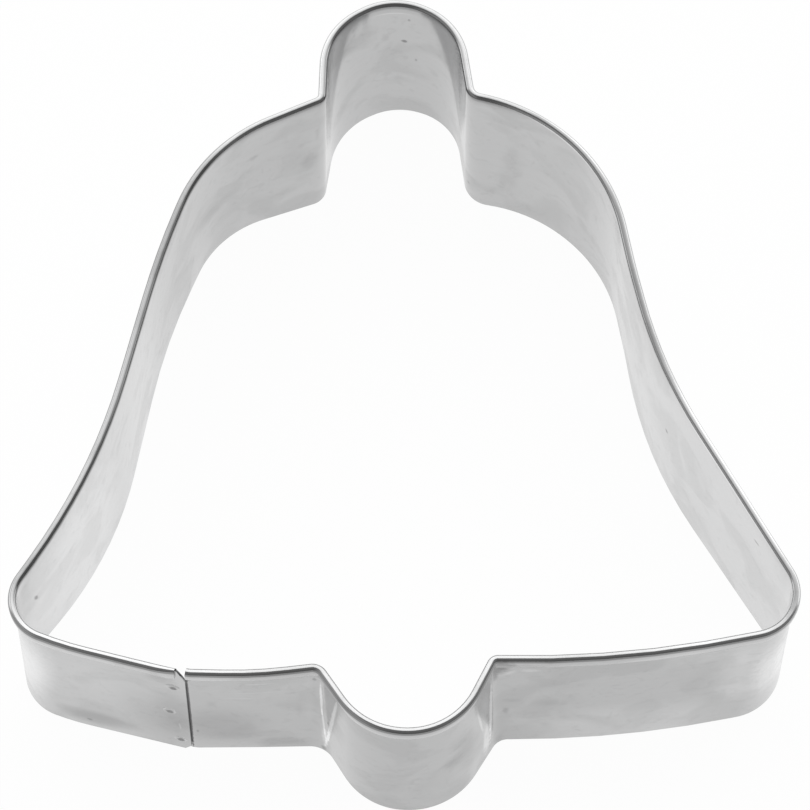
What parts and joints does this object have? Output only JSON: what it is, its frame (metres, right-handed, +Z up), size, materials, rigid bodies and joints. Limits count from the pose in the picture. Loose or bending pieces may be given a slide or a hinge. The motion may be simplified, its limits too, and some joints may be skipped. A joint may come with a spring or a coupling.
{
  "type": "cookie cutter",
  "caption": "Bell-shaped cookie cutter: a thin tinplate strip bent on edge, with a folded rim above, a plain cutting edge below and a lapped, spot-welded seam in the base.",
  "frame": {"origin": "under the middle of the bell's outline, in the plane of the cut edge that the cutter stands on", "axes": "+Z up from the cut edge to the folded rim; +Y from the clapper to the hanging loop; +X to the bell's right, with the seam at the left of the base"},
  "size_m": [0.0722, 0.0754, 0.02],
  "materials": {
    "tinplate": "bright cold-rolled tinplate, softly reflective, with faint handling stains",
    "weld": "dull fused tin and steel, dented by the electrode"
  },
  "bodies": {
    "root": {"cutter_band": "tinplate", "spot_weld_upper": "weld", "spot_weld_middle": "weld", "spot_weld_lower": "weld"}
  },
  "joints": []
}
